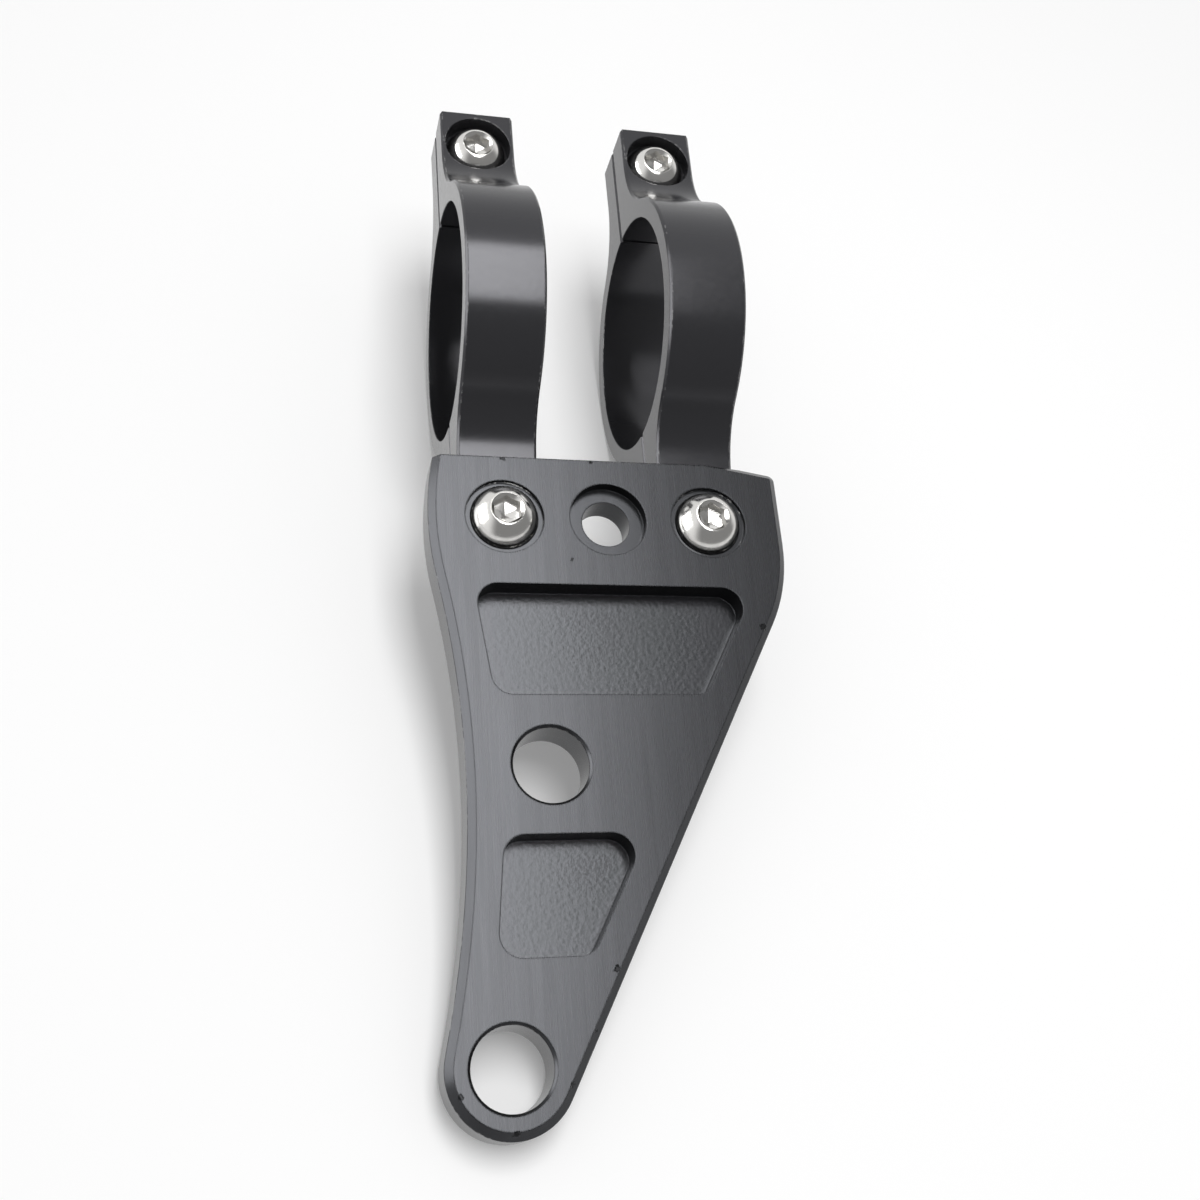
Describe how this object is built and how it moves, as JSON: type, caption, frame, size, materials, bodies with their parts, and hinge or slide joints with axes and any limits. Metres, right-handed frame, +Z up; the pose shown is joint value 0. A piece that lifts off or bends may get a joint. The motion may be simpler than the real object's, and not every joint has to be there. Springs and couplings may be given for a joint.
{
  "type": "headlight mounting bracket",
  "caption": "Black side plate with milled pockets and round holes, bolted to two split fork clamps by button-head screws.",
  "frame": {"origin": "middle of the bounding box at its base, on the table the bracket rests on", "axes": "+X along the fork bore, +Y from the plate's tip towards the clamps' outer ears, +Z up"},
  "size_m": [0.0564, 0.1664, 0.0457],
  "materials": {
    "anodised": "satin black anodised",
    "screws": "bright stainless"
  },
  "bodies": {
    "root": {"side_plate": "anodised", "left_clamp_front_half": "anodised", "left_clamp_rear_half": "anodised", "right_clamp_front_half": "anodised", "right_clamp_rear_half": "anodised", "left_inner_screw": "screws", "left_outer_screw": "screws", "right_inner_screw": "screws", "right_outer_screw": "screws"}
  },
  "joints": []
}
